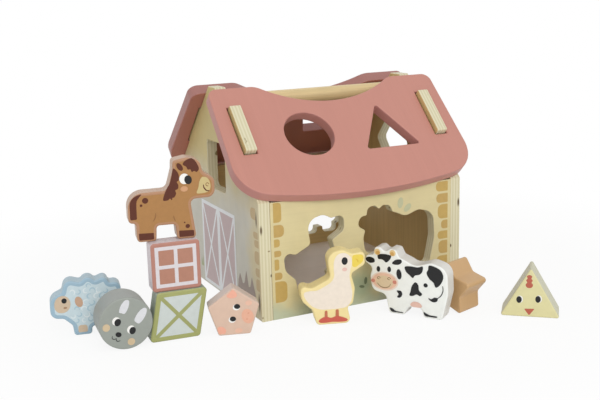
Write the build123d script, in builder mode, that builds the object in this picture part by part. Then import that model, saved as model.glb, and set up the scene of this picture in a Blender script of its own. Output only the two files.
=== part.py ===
from build123d import *

import os
from math import atan2, cos, degrees, radians, sin, sqrt, tan

# House shape sorter: a plywood farmhouse with two lift-off roof panels and ten loose blocks.
# Millimetres. +Z is up, -Y is the front, and the origin is on the floor under the middle of the house.

# House boards
house_width = 190.0          # across the outer faces of the gables
house_depth = 181.0          # over the front and back walls
eave_height = 97.0           # where the gable slopes start
roof_pitch = 45.0            # degrees
ridge_flat = 15.0            # width of the flat at the top of each gable
board = 10.0                 # plywood of the gables and walls
base_board = 6.0             # plywood of the floor
wall_top_gap = 0.5           # walls stop this far below the eave
eased = 1.0                  # sanded edge of gables and roof panels
hole_eased = 0.6             # sanded edge of the animal holes

# Roof panels, measured down the slope from the ridge line of the gables
roof_board = 10.0
roof_top = 20.0
roof_bottom = 134.8
roof_bottom_sag = 13.0       # rise of the lower edge at its corners
roof_top_overhang = 12.0     # past each gable, at the ridge
roof_bottom_overhang = 15.5  # past each gable, at the lower edge
roof_top_corner = 8.0
roof_bottom_corner = 29.0
finger_width = 128.0         # finger cut-out at the ridge
finger_depth = 21.0
finger_corner = 16.0

# Tabs on the gable slopes and the slots they locate
tab_top = 41.0
tab_length = 45.5
tab_proud = 4.3              # how far a tab stands out of its slot
tab_corner = 1.5
slot_clearance = 1.0

# Handle and hidden glued pins
handle_diameter = 14.0
handle_drop = 14.0           # from the top of the gables down to the dowel's axis
handle_seat = 6.0            # blind depth in each gable
glue_gap = 0.05              # radial
end_gap = 0.5                # between a pin's end and the bottom of its hole
wall_pin_diameter = 5.0
wall_pin_seat = 7.0          # blind depth in the gable
wall_pin_reach = 10.0        # depth in the wall's end
wall_pin_low = 20.0
wall_pin_high = 80.0
base_pin_diameter = 3.0
base_pin_seat = 6.0
base_pin_reach = 9.0
base_pin_spread = 100.0

# Blocks
animal_board = 15.0          # the animals, the window, the barn door and the pig
shape_board = 25.0           # the rabbit, the star and the chick
block_eased = 1.4
post_clearance = 1.5         # all round, between a block and its hole
duck_height = 60.0
cow_height = 54.5
horse_height = 62.0
sheep_height = 45.8
rabbit_diameter = 40.5
chick_side = 47.0
chick_corner = 1.5
chick_hole_corner = 1.8
pig_radius = 21.0
pig_corner = 2.0
star_radius = 24.0
star_waist = 13.8
star_tip = 2.5
star_valley = 4.0
window_width = 38.0
window_height = 38.3
tile_corner = 3.0
door_side = 39.5
door_height = 38.8
door_lean = 7.5

# Places of the holes: across, then up, on the board seen from outside
duck_hole_at = (-47.0, 19.3)
cow_hole_at = (34.3, 26.5)
sheep_hole_at = (-40.0, 18.0)
horse_hole_at = (38.0, 17.0)
window_hole_at = (3.0, 113.0)
door_hole_at = (5.0, 117.0)
# The same on the roof panels: across, then down the slope
rabbit_hole_at = (-33.0, 73.2)
chick_hole_at = (39.3, 79.5)
star_hole_at = (35.0, 74.0)
pig_hole_at = (-35.0, 72.0)

# Where the blocks stand: foot of the front face, then the turn about +Z in degrees
duck_at, duck_turn = (-47.8, -122.4), -18.0
cow_at, cow_turn = (14.2, -135.5), -54.0
horse_at, horse_turn = (-163.0, -86.0), -11.0
sheep_at, sheep_turn = (-221.7, -46.6), -11.0
rabbit_at, rabbit_turn = (-205.8, -93.0), -4.8
window_at, window_turn = (-164.0, -91.2), -6.0
door_at, door_turn = (-164.4, -92.5), -5.0
pig_at, pig_turn = (-124.5, -105.2), -16.1
star_at, star_turn = (47.9, -139.8), -72.0
chick_at, chick_turn = (94.8, -186.4), -41.0

# Worked out from the above
half_width = house_width / 2
half_depth = house_depth / 2
pitch = radians(roof_pitch)
apex = eave_height + half_depth * tan(pitch)
gable_height = apex - ridge_flat / 2 * tan(pitch)
handle_height = gable_height - handle_drop
inner_width = house_width - 2 * board
wall_height = eave_height - wall_top_gap
roof_top_width = house_width + 2 * roof_top_overhang
roof_bottom_width = house_width + 2 * roof_bottom_overhang
tab_reach = roof_board + tab_proud

# Boards seen from outside: local X runs to the viewer's right and local Y up the board
front_face = Plane(origin=(0, -half_depth, 0), x_dir=(1, 0, 0), z_dir=(0, -1, 0))
back_face = Plane(origin=(0, half_depth, 0), x_dir=(-1, 0, 0), z_dir=(0, 1, 0))
left_face = Plane(origin=(-half_width, 0, 0), x_dir=(0, -1, 0), z_dir=(-1, 0, 0))
right_face = Plane(origin=(half_width, 0, 0), x_dir=(0, 1, 0), z_dir=(1, 0, 0))
front_slope = Plane(origin=(0, 0, apex), x_dir=(1, 0, 0), z_dir=(0, -sin(pitch), cos(pitch)))
back_slope = Plane(origin=(0, 0, apex), x_dir=(-1, 0, 0), z_dir=(0, sin(pitch), cos(pitch)))


def on_floor(place, turn, height=0.0):
    """The plane of an upright block's front face, with its foot at the place given."""
    angle = radians(turn)
    return Plane(
        origin=(place[0], place[1], height),
        x_dir=(cos(angle), sin(angle), 0),
        z_dir=(sin(angle), -cos(angle), 0),
    )


def rounded_outline(corners, height=None):
    """A closed outline from corners given as (across, up, radius), scaled to a height if one is given."""
    with BuildSketch() as outline:
        with BuildLine():
            FilletPolyline(
                *[(x, y) for x, y, _ in corners],
                radius=[r for _, _, r in corners],
                close=True,
            )
        make_face()
        if height:
            scale(by=height / outline.sketch.bounding_box().size.Y)
    return outline.sketch


def flipped(outline):
    """The outline as it looks from the other side of its board."""
    with BuildSketch() as turned:
        mirror(outline, about=Plane.YZ)
    return turned.sketch


def grown(outline):
    """The hole that a block posts through: its outline with the clearance all round."""
    with BuildSketch() as hole:
        add(outline)
        offset(amount=post_clearance)
    return hole.sketch


# Block outlines, standing on Y = 0 and seen from the printed side

duck_outline = rounded_outline([
    (-13.0, 0.0, 3.5),       # foot
    (-16.2, 12.5, 4.0),
    (-24.8, 20.5, 8.0),      # belly
    (-26.3, 34.0, 3.5),      # tail
    (-17.0, 30.6, 6.0),
    (-1.5, 38.2, 5.0),       # neck
    (-4.2, 58.0, 8.0),       # back of the head
    (8.5, 61.3, 8.0),        # crown
    (16.0, 57.3, 5.0),
    (26.5, 58.8, 3.5),       # beak
    (26.5, 48.0, 4.0),
    (15.0, 41.0, 4.0),       # throat
    (18.3, 29.0, 12.0),      # breast
    (16.5, 16.5, 4.0),
    (12.0, 13.2, 2.5),
    (14.8, 0.0, 4.0),        # toes
], duck_height)

cow_outline = rounded_outline([
    (-17.2, 0.0, 3.0),       # front hoof
    (-20.8, 15.5, 5.0),      # chest
    (-32.8, 18.0, 6.5),      # chin
    (-34.5, 30.0, 7.0),      # cheek
    (-32.3, 37.5, 4.0),
    (-39.8, 42.0, 3.0),      # left ear
    (-37.5, 47.4, 3.0),
    (-31.5, 48.2, 2.5),
    (-30.2, 54.8, 2.8),      # left horn
    (-25.3, 55.4, 2.4),
    (-20.8, 51.6, 3.0),
    (-16.5, 54.8, 2.4),      # right horn
    (-11.3, 54.2, 2.8),
    (-8.6, 48.4, 3.0),
    (-2.0, 45.8, 4.0),       # shoulder
    (5.0, 42.2, 12.0),       # back
    (18.5, 46.8, 9.0),       # rump
    (32.3, 43.0, 10.0),
    (33.3, 22.0, 14.0),
    (28.5, 0.0, 3.0),        # back hoof
    (13.0, 0.0, 2.5),
    (10.5, 7.5, 3.5),        # belly
    (0.0, 7.5, 3.5),
    (-4.5, 0.0, 2.5),
], cow_height)

horse_outline = rounded_outline([
    (-27.5, 0.0, 3.0),       # hind hoof
    (-27.8, 14.6, 2.5),
    (-33.2, 15.2, 3.0),      # tail
    (-33.2, 37.8, 12.0),
    (-2.8, 38.4, 5.0),       # back
    (1.5, 53.0, 3.0),        # mane
    (2.0, 60.8, 3.0),        # ear
    (12.5, 62.8, 6.0),       # crown
    (22.3, 60.0, 6.0),
    (24.8, 50.5, 5.0),       # brow
    (33.3, 45.0, 5.0),       # nose
    (33.3, 30.8, 6.0),       # mouth
    (14.0, 30.3, 4.0),       # throat
    (17.8, 0.0, 3.0),        # front hoof
    (2.8, 0.0, 2.5),
    (1.8, 11.8, 2.5),        # belly
    (-12.3, 11.8, 2.5),
    (-13.0, 0.0, 2.5),
], horse_height)

sheep_outline = rounded_outline([
    (-12.3, 0.0, 2.5),       # front foot
    (-13.3, 8.5, 4.0),
    (-19.5, 14.3, 5.0),      # chin
    (-29.3, 15.5, 6.0),
    (-29.3, 31.0, 8.0),      # brow
    (-19.8, 35.3, 2.5),
    (-16.8, 46.0, 6.0),      # wool
    (-5.5, 42.4, 2.5),
    (0.5, 48.0, 5.5),
    (5.8, 42.6, 2.5),
    (14.5, 46.0, 4.0),
    (16.3, 39.8, 2.5),
    (25.8, 40.3, 5.0),
    (24.8, 31.0, 2.5),
    (31.5, 25.5, 4.5),
    (26.0, 18.0, 2.5),
    (28.5, 9.0, 4.0),        # rump
    (22.6, 6.8, 2.5),
    (22.8, 0.0, 2.5),        # back foot
    (10.8, 0.0, 2.5),
    (10.3, 6.3, 2.5),        # belly
    (1.5, 6.3, 2.5),
    (1.0, 0.0, 2.5),
], sheep_height)

with BuildSketch() as rabbit_outline:
    Circle(rabbit_diameter / 2)

with BuildSketch() as chick_outline:
    RegularPolygon(chick_side / sqrt(3), 3, rotation=90)
    fillet(chick_outline.vertices(), chick_corner)

# The clearance moves each corner of a triangle out by twice as much
with BuildSketch() as chick_hole:
    RegularPolygon(chick_side / sqrt(3) + 2 * post_clearance, 3, rotation=90)
    fillet(chick_hole.vertices(), chick_hole_corner)

with BuildSketch() as pig_outline:
    RegularPolygon(pig_radius, 5, rotation=90)
    fillet(pig_outline.vertices(), pig_corner)

with BuildSketch() as star_outline:
    with BuildLine():
        Polyline(
            *[
                (
                    (star_radius, star_waist)[point % 2] * sin(radians(36 * point)),
                    (star_radius, star_waist)[point % 2] * cos(radians(36 * point)),
                )
                for point in range(10)
            ],
            close=True,
        )
    make_face()
    star_points = star_outline.vertices().sort_by_distance((0, 0))
    fillet(star_points[5:], star_tip)
    waist_points = star_outline.vertices().sort_by_distance((0, 0))[:5]
    fillet(waist_points, star_valley)

with BuildSketch() as window_outline:
    RectangleRounded(window_width, window_height, tile_corner)

with BuildSketch() as door_outline:
    with BuildLine():
        Polyline(
            (-(door_side + door_lean) / 2, -door_height / 2),
            ((door_side - door_lean) / 2, -door_height / 2),
            ((door_side + door_lean) / 2, door_height / 2),
            (-(door_side - door_lean) / 2, door_height / 2),
            close=True,
        )
    make_face()
    fillet(door_outline.vertices(), tile_corner)


def standing(outline):
    """The outline moved up or down, so that its lowest point is at Y = 0."""
    lowest = outline.sketch.bounding_box().min.Y
    with BuildSketch() as stood:
        with Locations((0, -lowest)):
            add(outline.sketch)
    return stood.sketch


# What every board shares


def rims(solid, face):
    """The edges of the holes that go through a board, on both of its faces."""
    return [
        edge
        for side in solid.faces().filter_by(face)
        for wire in side.inner_wires()
        for edge in wire.edges()
    ]


def wall_end(face, side):
    """The middle of a wall's end, facing out of the wall, with local X up the board."""
    middle = face.from_local_coords((side * inner_width / 2, 0, -board / 2))
    return Plane(origin=middle, x_dir=face.y_dir, z_dir=face.x_dir * side)


def base_edge(face):
    """The base board's edge where it meets a wall, facing out of the base board."""
    middle = face.from_local_coords((0, base_board / 2, -board))
    return Plane(origin=middle, x_dir=face.x_dir, z_dir=face.z_dir)


# Base board

with BuildPart() as base_panel:
    with BuildSketch():
        Rectangle(inner_width, house_depth - 2 * board)
    extrude(amount=base_board)
    for face in (front_face, back_face):
        with BuildSketch(base_edge(face)):
            with GridLocations(base_pin_spread, 0, 2, 1):
                Circle(base_pin_diameter / 2 + glue_gap)
        extrude(amount=-base_pin_reach, mode=Mode.SUBTRACT)

base_panel.part.label = "base_panel"

# Front and back walls


def wall(label, face, first_hole, first_at, second_hole, second_at):
    """A wall with two animal holes, and blind holes for the pins in its ends and its inner face."""
    with BuildPart() as piece:
        with BuildSketch(face):
            Rectangle(inner_width, wall_height, align=(Align.CENTER, Align.MIN))
            with Locations(first_at):
                add(grown(first_hole), mode=Mode.SUBTRACT)
            with Locations(second_at):
                add(grown(second_hole), mode=Mode.SUBTRACT)
        extrude(amount=-board)
        fillet(rims(piece.part, face), hole_eased)
        for side in (-1, 1):
            with BuildSketch(wall_end(face, side)):
                with Locations((wall_pin_low, 0), (wall_pin_high, 0)):
                    Circle(wall_pin_diameter / 2 + glue_gap)
            extrude(amount=-wall_pin_reach, mode=Mode.SUBTRACT)
        with BuildSketch(base_edge(face)):
            with GridLocations(base_pin_spread, 0, 2, 1):
                Circle(base_pin_diameter / 2 + glue_gap)
        extrude(amount=base_pin_seat, mode=Mode.SUBTRACT)
    piece.part.label = label
    return piece.part


front_wall = wall("front_wall", front_face, duck_outline, duck_hole_at, cow_outline, cow_hole_at)
# The back wall's holes are cut to be read from the front, through the house
back_wall = wall(
    "back_wall", back_face, flipped(sheep_outline), sheep_hole_at, flipped(horse_outline), horse_hole_at
)

# Gables, with the tabs that stick through the roof panels


def on_slope(side, down, out):
    """A point of a gable, by its distance down the slope from the ridge and out from the slope."""
    across = down * cos(pitch) + out * sin(pitch)
    return (side * across, apex - down * sin(pitch) + out * cos(pitch))


def gable_half(side):
    """One side of the gable's outline, from the floor up to the ridge, as (across, up, radius)."""
    tab_bottom = tab_top + tab_length
    return [
        (side * half_depth, 0, 0),
        (side * half_depth, eave_height, 0),
        (*on_slope(side, tab_bottom, 0), 0),
        (*on_slope(side, tab_bottom, tab_reach), tab_corner),
        (*on_slope(side, tab_top, tab_reach), tab_corner),
        (*on_slope(side, tab_top, 0), 0),
        (side * ridge_flat / 2, gable_height, 0),
    ]


gable_outline = rounded_outline(gable_half(1) + gable_half(-1)[::-1])


def gable(label, face, hole, hole_at, turn):
    """A gable with its posting hole, and blind holes for the handle and the wall pins."""
    with BuildPart() as piece:
        with BuildSketch(face):
            add(gable_outline)
            with Locations(hole_at):
                add(grown(hole.sketch), rotation=turn, mode=Mode.SUBTRACT)
        extrude(amount=-board)
        fillet(piece.faces().filter_by(face).edges(), eased)
        with BuildSketch(face.offset(-board)):
            with Locations((0, handle_height)):
                Circle(handle_diameter / 2 + glue_gap)
        extrude(amount=handle_seat, mode=Mode.SUBTRACT)
        with BuildSketch(face.offset(-board)):
            with Locations((0, (wall_pin_low + wall_pin_high) / 2)):
                with GridLocations(house_depth - board, wall_pin_high - wall_pin_low, 2, 2):
                    Circle(wall_pin_diameter / 2 + glue_gap)
        extrude(amount=wall_pin_seat, mode=Mode.SUBTRACT)
    piece.part.label = label
    return piece.part


# The barn-door hole is turned so that the two blunt corners lie level
door_hole_turn = degrees(atan2(door_height, door_side - door_lean))

left_gable = gable("left_gable", left_face, window_outline, window_hole_at, 0)
right_gable = gable("right_gable", right_face, door_outline, door_hole_at, door_hole_turn)

# Handle under the ridge

with BuildPart() as handle_dowel:
    with BuildSketch(Plane.YZ.offset(-inner_width / 2 - handle_seat + end_gap)):
        with Locations((0, handle_height)):
            Circle(handle_diameter / 2)
    extrude(amount=inner_width + 2 * (handle_seat - end_gap))

handle_dowel.part.label = "handle_dowel"

# Glued pins


def wall_pins(label, face):
    """The four pins that join one wall to both gables."""
    with BuildPart() as pins:
        for side in (-1, 1):
            with BuildSketch(wall_end(face, side).offset(end_gap - wall_pin_reach)):
                with Locations((wall_pin_low, 0), (wall_pin_high, 0)):
                    Circle(wall_pin_diameter / 2)
            extrude(amount=wall_pin_reach + wall_pin_seat - 2 * end_gap)
    pins.part.label = label
    return pins.part


front_wall_pins = wall_pins("front_wall_pins", front_face)
back_wall_pins = wall_pins("back_wall_pins", back_face)

with BuildPart() as base_pins:
    for face in (front_face, back_face):
        with BuildSketch(base_edge(face).offset(end_gap - base_pin_reach)):
            with GridLocations(base_pin_spread, 0, 2, 1):
                Circle(base_pin_diameter / 2)
        extrude(amount=base_pin_reach + base_pin_seat - 2 * end_gap)

base_pins.part.label = "base_pins"

# Roof panels


def roof_panel(label, slope, first_hole, first_at, second_hole, second_at):
    """A roof panel with its finger cut-out, the slots for the gables' tabs and two posting holes."""
    with BuildPart() as piece:
        with BuildSketch(slope) as panel:
            with BuildLine():
                low_left = (-roof_bottom_width / 2, roof_bottom_sag - roof_bottom)
                low_right = (roof_bottom_width / 2, roof_bottom_sag - roof_bottom)
                ThreePointArc(low_left, (0, -roof_bottom), low_right)
                Polyline(low_right, (roof_top_width / 2, -roof_top), (finger_width / 2, -roof_top))
                ThreePointArc(
                    (finger_width / 2, -roof_top),
                    (0, -roof_top - finger_depth),
                    (-finger_width / 2, -roof_top),
                )
                Polyline((-finger_width / 2, -roof_top), (-roof_top_width / 2, -roof_top), low_left)
            make_face()
            fillet(panel.vertices().sort_by(Axis.Y)[:2], roof_bottom_corner)
            ridge_points = panel.vertices().group_by(Axis.Y)[-1].sort_by(Axis.X)
            fillet([ridge_points[0], ridge_points[-1]], roof_top_corner)
            ridge_points = panel.vertices().group_by(Axis.Y)[-1].sort_by(Axis.X)
            fillet(ridge_points[1:-1], finger_corner)
            with Locations((0, -tab_top - tab_length / 2)):
                with GridLocations(house_width - board, 0, 2, 1):
                    Rectangle(
                        board + 2 * slot_clearance,
                        tab_length + 2 * slot_clearance,
                        mode=Mode.SUBTRACT,
                    )
            with Locations((first_at[0], -first_at[1])):
                add(first_hole, mode=Mode.SUBTRACT)
            with Locations((second_at[0], -second_at[1])):
                add(second_hole, mode=Mode.SUBTRACT)
        extrude(amount=roof_board)
        fillet(piece.faces().filter_by(slope).edges(), eased)
    piece.part.label = label
    return piece.part


rabbit_hole, star_hole, pig_hole = [
    grown(outline.sketch) for outline in (rabbit_outline, star_outline, pig_outline)
]
front_roof_panel = roof_panel(
    "front_roof_panel", front_slope, rabbit_hole, rabbit_hole_at, chick_hole.sketch, chick_hole_at
)
back_roof_panel = roof_panel(
    "back_roof_panel", back_slope, star_hole, star_hole_at, pig_hole, pig_hole_at
)

# Blocks


def block(label, outline, place, thickness):
    """A block cut from board, with every edge of its two faces rounded."""
    with BuildPart() as piece:
        with BuildSketch(place):
            add(outline)
        extrude(amount=-thickness)
        fillet(piece.faces().filter_by(place).edges(), block_eased)
    piece.part.label = label
    return piece.part


blocks = [
    block("duck_block", duck_outline, on_floor(duck_at, duck_turn), animal_board),
    block("cow_block", cow_outline, on_floor(cow_at, cow_turn), animal_board),
    block("sheep_block", sheep_outline, on_floor(sheep_at, sheep_turn), animal_board),
    block("pig_block", standing(pig_outline), on_floor(pig_at, pig_turn), animal_board),
    block("rabbit_block", standing(rabbit_outline), on_floor(rabbit_at, rabbit_turn), shape_board),
    block("star_block", standing(star_outline), on_floor(star_at, star_turn), shape_board),
    block("chick_block", standing(chick_outline), on_floor(chick_at, chick_turn), shape_board),
    # The tower beside the house: barn door, window, horse
    block("barn_door_block", standing(door_outline), on_floor(door_at, door_turn), animal_board),
    block(
        "window_block",
        standing(window_outline),
        on_floor(window_at, window_turn, door_height),
        animal_board,
    ),
    block(
        "horse_block",
        horse_outline,
        on_floor(horse_at, horse_turn, door_height + window_height),
        animal_board,
    ),
]

pieces = [
    base_panel.part,
    front_wall,
    back_wall,
    left_gable,
    right_gable,
    handle_dowel.part,
    front_wall_pins,
    back_wall_pins,
    base_pins.part,
    front_roof_panel,
    back_roof_panel,
    *blocks,
]

os.makedirs("parts", exist_ok=True)
for piece in pieces:
    export_step(piece, f"parts/{piece.label}.step")
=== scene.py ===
import math
import random

import bpy
from bpy.props import FloatProperty, FloatVectorProperty, PointerProperty
from mathutils import Matrix, Vector


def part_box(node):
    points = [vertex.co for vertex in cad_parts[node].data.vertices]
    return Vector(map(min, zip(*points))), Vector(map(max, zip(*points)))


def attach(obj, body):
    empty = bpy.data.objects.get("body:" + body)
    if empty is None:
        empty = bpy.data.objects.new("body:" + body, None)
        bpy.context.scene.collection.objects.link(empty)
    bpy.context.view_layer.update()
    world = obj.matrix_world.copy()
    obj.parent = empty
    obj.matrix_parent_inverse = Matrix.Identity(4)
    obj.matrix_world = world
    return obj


bl_info = {
    "name": "House shape sorter",
    "version": (1, 0, 0),
    "blender": (4, 5, 0),
    "location": "3D View > Sidebar > Shape sorter",
    "description": "Paints, prints and lights a plywood farmhouse shape sorter and its ten blocks",
    "category": "Object",
}

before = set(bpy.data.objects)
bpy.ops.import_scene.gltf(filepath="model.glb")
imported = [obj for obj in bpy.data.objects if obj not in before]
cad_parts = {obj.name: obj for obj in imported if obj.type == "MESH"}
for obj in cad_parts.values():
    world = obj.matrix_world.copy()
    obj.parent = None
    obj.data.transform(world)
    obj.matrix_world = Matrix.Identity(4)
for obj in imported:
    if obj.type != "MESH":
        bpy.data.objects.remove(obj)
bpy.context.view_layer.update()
MM = 0.001


def linear(code):
    """A colour written as sRGB hex, turned into the linear light that Blender's sockets take."""
    channels = [int(code[i:i + 2], 16) / 255 for i in (0, 2, 4)]
    return tuple(c / 12.92 if c <= 0.04045 else ((c + 0.055) / 1.055) ** 2.4 for c in channels)


def paint_choice(name, description, code):
    """A colour that can be changed in the sidebar."""
    return FloatVectorProperty(
        name=name, description=description, default=linear(code), subtype="COLOR", size=3, min=0.0, max=1.0
    )


def size_choice(name, description, size):
    """A length that can be changed in the sidebar, given here in millimetres."""
    return FloatProperty(name=name, description=description, default=size * MM, unit="LENGTH")


class SorterHousePaint(bpy.types.PropertyGroup):
    """Finishes of the house's boards."""

    wall_cream: paint_choice("Wall cream", "Printed lacquer on the outside of the walls", "D7C999")
    wall_wash: paint_choice("Wall wash", "Soft blue-green wash near the ground", "BCC2A6")
    gable_cream: paint_choice("Gable cream", "Upper part of the gables", "CCBB82")
    gable_sage: paint_choice("Gable sage", "Lower part of the gables", "CAC7BA")
    gable_straw: paint_choice("Gable straw", "Warm bands along the upright edges of the gables", "D3C7A0")
    ply_pale: paint_choice("Pale layers", "Long-grain layers at a plywood edge", "DDD6B8")
    ply_dark: paint_choice("Dark layers", "End-grain layers at a plywood edge", "D0C8A4")
    veneer: paint_choice("Veneer", "Lacquered veneer inside the house", "D0B67C")
    floor: paint_choice("Floor board", "Pale lacquer on the base", "EEE6DA")
    roof_rose: paint_choice("Roof rose", "Satin paint of both roof panels", "C28678")
    roof_edge: paint_choice("Roof edge", "The same paint on the front panel's sanded edges", "BE837B")
    # The back panel's edges are painted a deeper rose than the front panel's: painted shade, as they face
    # away from the lamp.
    roof_edge_back: paint_choice("Back roof edge", "A shade deeper, on the back panel's edges", "A5726B")
    # The underside of both roof panels is painted darker than the top: painted shade.
    roof_under: paint_choice("Roof underside", "Thinner coat below the roof", "AF6F61")
    beech: paint_choice("Beech", "Handle dowel", "DFC793")
    layer: size_choice("Layer", "Thickness of one plywood layer", 1.43)
    grain: size_choice("Grain width", "Width of one streak in the birch veneer", 1.8)


class SorterBlockPaint(bpy.types.PropertyGroup):
    """Paint of the ten blocks: the ground of the printed face, and the sides."""

    duck: paint_choice("Duck", "Yellow border of the duck", "EFDC9E")
    duck_side: paint_choice("Duck side", "Sides of the duck", "F1E0A2")
    cow: paint_choice("Cow", "White of the cow", "F2F4F0")
    cow_side: paint_choice("Cow side", "Sides of the cow", "DAD8D2")
    horse: paint_choice("Horse", "Border of the horse", "B08260")
    horse_side: paint_choice("Horse side", "Sides of the horse", "C4A58E")
    sheep: paint_choice("Sheep", "Border of the sheep", "9DBACB")
    sheep_side: paint_choice("Sheep side", "Sides of the sheep", "A9C0CB")
    rabbit: paint_choice("Rabbit", "Grey of the round block", "989D96")
    rabbit_side: paint_choice("Rabbit side", "Sides of the round block", "9A9E99")
    window: paint_choice("Window", "Terracotta border of the window", "B47E6F")
    window_side: paint_choice("Window side", "Sides of the window", "DACFD3")
    barn_door: paint_choice("Barn door", "Olive border of the barn door", "A2A567")
    barn_door_side: paint_choice("Barn door side", "Sides of the barn door", "9FAA98")
    pig: paint_choice("Pig", "Peach of the pig", "D9BBA7")
    pig_side: paint_choice("Pig side", "Sides of the pig", "D9C6BC")
    star: paint_choice("Star", "Tan of the star", "C9A374")
    chick: paint_choice("Chick", "Yellow of the chick", "DCD5A2")
    chick_side: paint_choice("Chick side", "Sides of the chick", "C4C2A6")


class SorterPrintSizes(bpy.types.PropertyGroup):
    """Sizes of the printed artwork."""

    ink: size_choice("Ink", "Height of the first layer of ink", 0.05)
    overprint: size_choice("Overprint", "Added height of each layer printed on another", 0.02)
    window_border: size_choice("Window border", "From the edge of the window to its white frame", 3.1)
    window_bar: size_choice("Window bar", "Width of the frame and bars", 2.8)
    door_border: size_choice("Door border", "Width of the barn door's border", 3.9)
    door_brace: size_choice("Door brace", "Width of the barn door's crossed braces", 2.9)
    block_edge: size_choice("Block edge", "Rounding at the edge of a block, outside its flat face", 1.4)
    line: size_choice("Line", "Width of the thin drawn lines", 0.55)


class SorterStage(bpy.types.PropertyGroup):
    """Floor, light and camera."""

    key: FloatProperty(
        name="Key", description="Large soft lamp, in front and a little left", default=13.6, unit="POWER"
    )
    fill: FloatProperty(name="Fill", description="Light from all round", default=0.72)
    floor: FloatProperty(name="Floor", description="Half the width of the floor", default=3.0, unit="LENGTH")
    lens: FloatProperty(
        name="Lens", description="Focal length on a 36 mm frame", default=57.756, unit="CAMERA"
    )


# Shader nodes


def add_node(tree, kind, inputs=None, **settings):
    """Adds a node, with its settings, and with a value or a link for each input that is given."""
    node = tree.nodes.new(kind)
    for name, value in settings.items():
        setattr(node, name, value)
    for key, value in (inputs or {}).items():
        if isinstance(value, bpy.types.NodeSocket):
            tree.links.new(value, node.inputs[key])
        else:
            node.inputs[key].default_value = value
    return node


def maths(tree, operation, *values):
    """What a math node makes of the values."""
    return add_node(tree, "ShaderNodeMath", dict(enumerate(values)), operation=operation).outputs[0]


def vectors(tree, operation, *values):
    """What a vector math node makes of the values: a number for a product or a length, else a vector."""
    node = add_node(tree, "ShaderNodeVectorMath", dict(enumerate(values)), operation=operation)
    return node.outputs["Value" if operation in ("DOT_PRODUCT", "LENGTH") else "Vector"]


def scaled(tree, vector, scale):
    """A vector or a colour, multiplied by a number."""
    return add_node(tree, "ShaderNodeVectorMath", {0: vector, "Scale": scale}, operation="SCALE").outputs[0]


def ramp(tree, value, low=0.0, high=1.0, start=0.0, end=1.0, smooth=False):
    """Start where the value is low, end where it is high, and between the two a straight or a smooth run."""
    return add_node(
        tree, "ShaderNodeMapRange", {0: value, 1: low, 2: high, 3: start, 4: end},
        interpolation_type="SMOOTHSTEP" if smooth else "LINEAR",
    ).outputs[0]


def mix(tree, share, first, second):
    """The first colour where the share is 0, and the second where it is 1."""
    colours = {
        6 + i: colour if isinstance(colour, bpy.types.NodeSocket) else (*colour, 1)
        for i, colour in enumerate((first, second))
    }
    return add_node(tree, "ShaderNodeMix", {0: share, **colours}, data_type="RGBA").outputs[2]


def noise(tree, place, size, detail, roughness=0.5):
    """Soft noise, from 0 to 1, whose patches have the size given."""
    return add_node(
        tree, "ShaderNodeTexNoise",
        {"Vector": place, "Scale": 1 / size, "Detail": detail, "Roughness": roughness},
    ).outputs["Fac"]


def seen_plainly(tree):
    """1 for rays from the camera, from gloss or through glass, and 0 for those that carry light."""
    rays = add_node(tree, "ShaderNodeLightPath").outputs
    seen = maths(tree, "MAXIMUM", rays["Is Camera Ray"], rays["Is Glossy Ray"])
    return maths(tree, "MAXIMUM", seen, rays["Is Transmission Ray"])


# Patterns. Their sizes are in millimetres, and a strength is a share of the colour.


def grain(tree, place, along, width, length):
    """Streaks of wood of a width and a length, from noise drawn out along the grain."""
    run = vectors(tree, "DOT_PRODUCT", place, along)
    shift = scaled(tree, along, maths(tree, "MULTIPLY", run, 1 / length - 1 / width))
    return noise(tree, vectors(tree, "ADD", scaled(tree, place, 1 / width), shift), 1, 3.0, 0.6)


def facing(tree, normal, outward, low=0.55, high=0.8):
    """1 where the surface faces outward, and 0 where it has turned away past its rounded edge."""
    return ramp(tree, vectors(tree, "DOT_PRODUCT", normal, outward), low, high, smooth=True)


def mottled(tree, place, colour, size, strength):
    """The colour, with soft lighter and darker patches of a size."""
    patches = noise(tree, place, size, 2.0, 0.55)
    return scaled(tree, colour, ramp(tree, patches, 0.3, 0.7, 1 - strength, 1 + strength))


def streaked(tree, colour, streaks, strength):
    """The colour, made darker and lighter along the streaks of the grain."""
    return scaled(tree, colour, ramp(tree, streaks, 0.25, 0.75, 1 - strength, 1 + strength * 0.6))


def washed(tree, place, colour, tint, middle, reach):
    """The colour, with a soft ragged patch of a second one, which has a middle and a reach on each axis."""
    offset = vectors(tree, "SUBTRACT", place, middle)
    away = vectors(tree, "LENGTH", vectors(tree, "DIVIDE", offset, reach))
    ragged = maths(tree, "MULTIPLY_ADD", noise(tree, place, 14, 2.0), 0.7, away)
    return mix(tree, ramp(tree, ragged, 0.6, 1.35, 1.0, 0.0, smooth=True), colour, tint)


def ply_edge(tree, place, paint, through, start):
    """A sawn and sanded plywood edge: pale long grain and darker end grain in turn, with small knots."""
    depth = vectors(tree, "DOT_PRODUCT", place, through)
    wavy = maths(tree, "MULTIPLY_ADD", noise(tree, place, 18, 1.0), 0.5, depth)
    per_layer = math.pi / (paint.layer / MM)
    wave = maths(tree, "SINE", maths(tree, "MULTIPLY_ADD", wavy, per_layer, -start * per_layer))
    wood = mix(tree, ramp(tree, wave, -0.35, 0.35), paint.ply_dark, paint.ply_pale)
    knot = ramp(tree, noise(tree, place, 7, 1.5), 0.70, 0.76, smooth=True)
    return mix(tree, knot, wood, linear("8A7850"))


# Materials


def new_material(name):
    """An empty node material, with the object's own coordinates in millimetres and its normal."""
    material = bpy.data.materials.new(name)
    material.use_nodes = True
    tree = material.node_tree
    tree.nodes.clear()
    space = add_node(tree, "ShaderNodeTexCoord").outputs
    return material, tree, scaled(tree, space["Object"], 1 / MM), space["Normal"]


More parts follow.
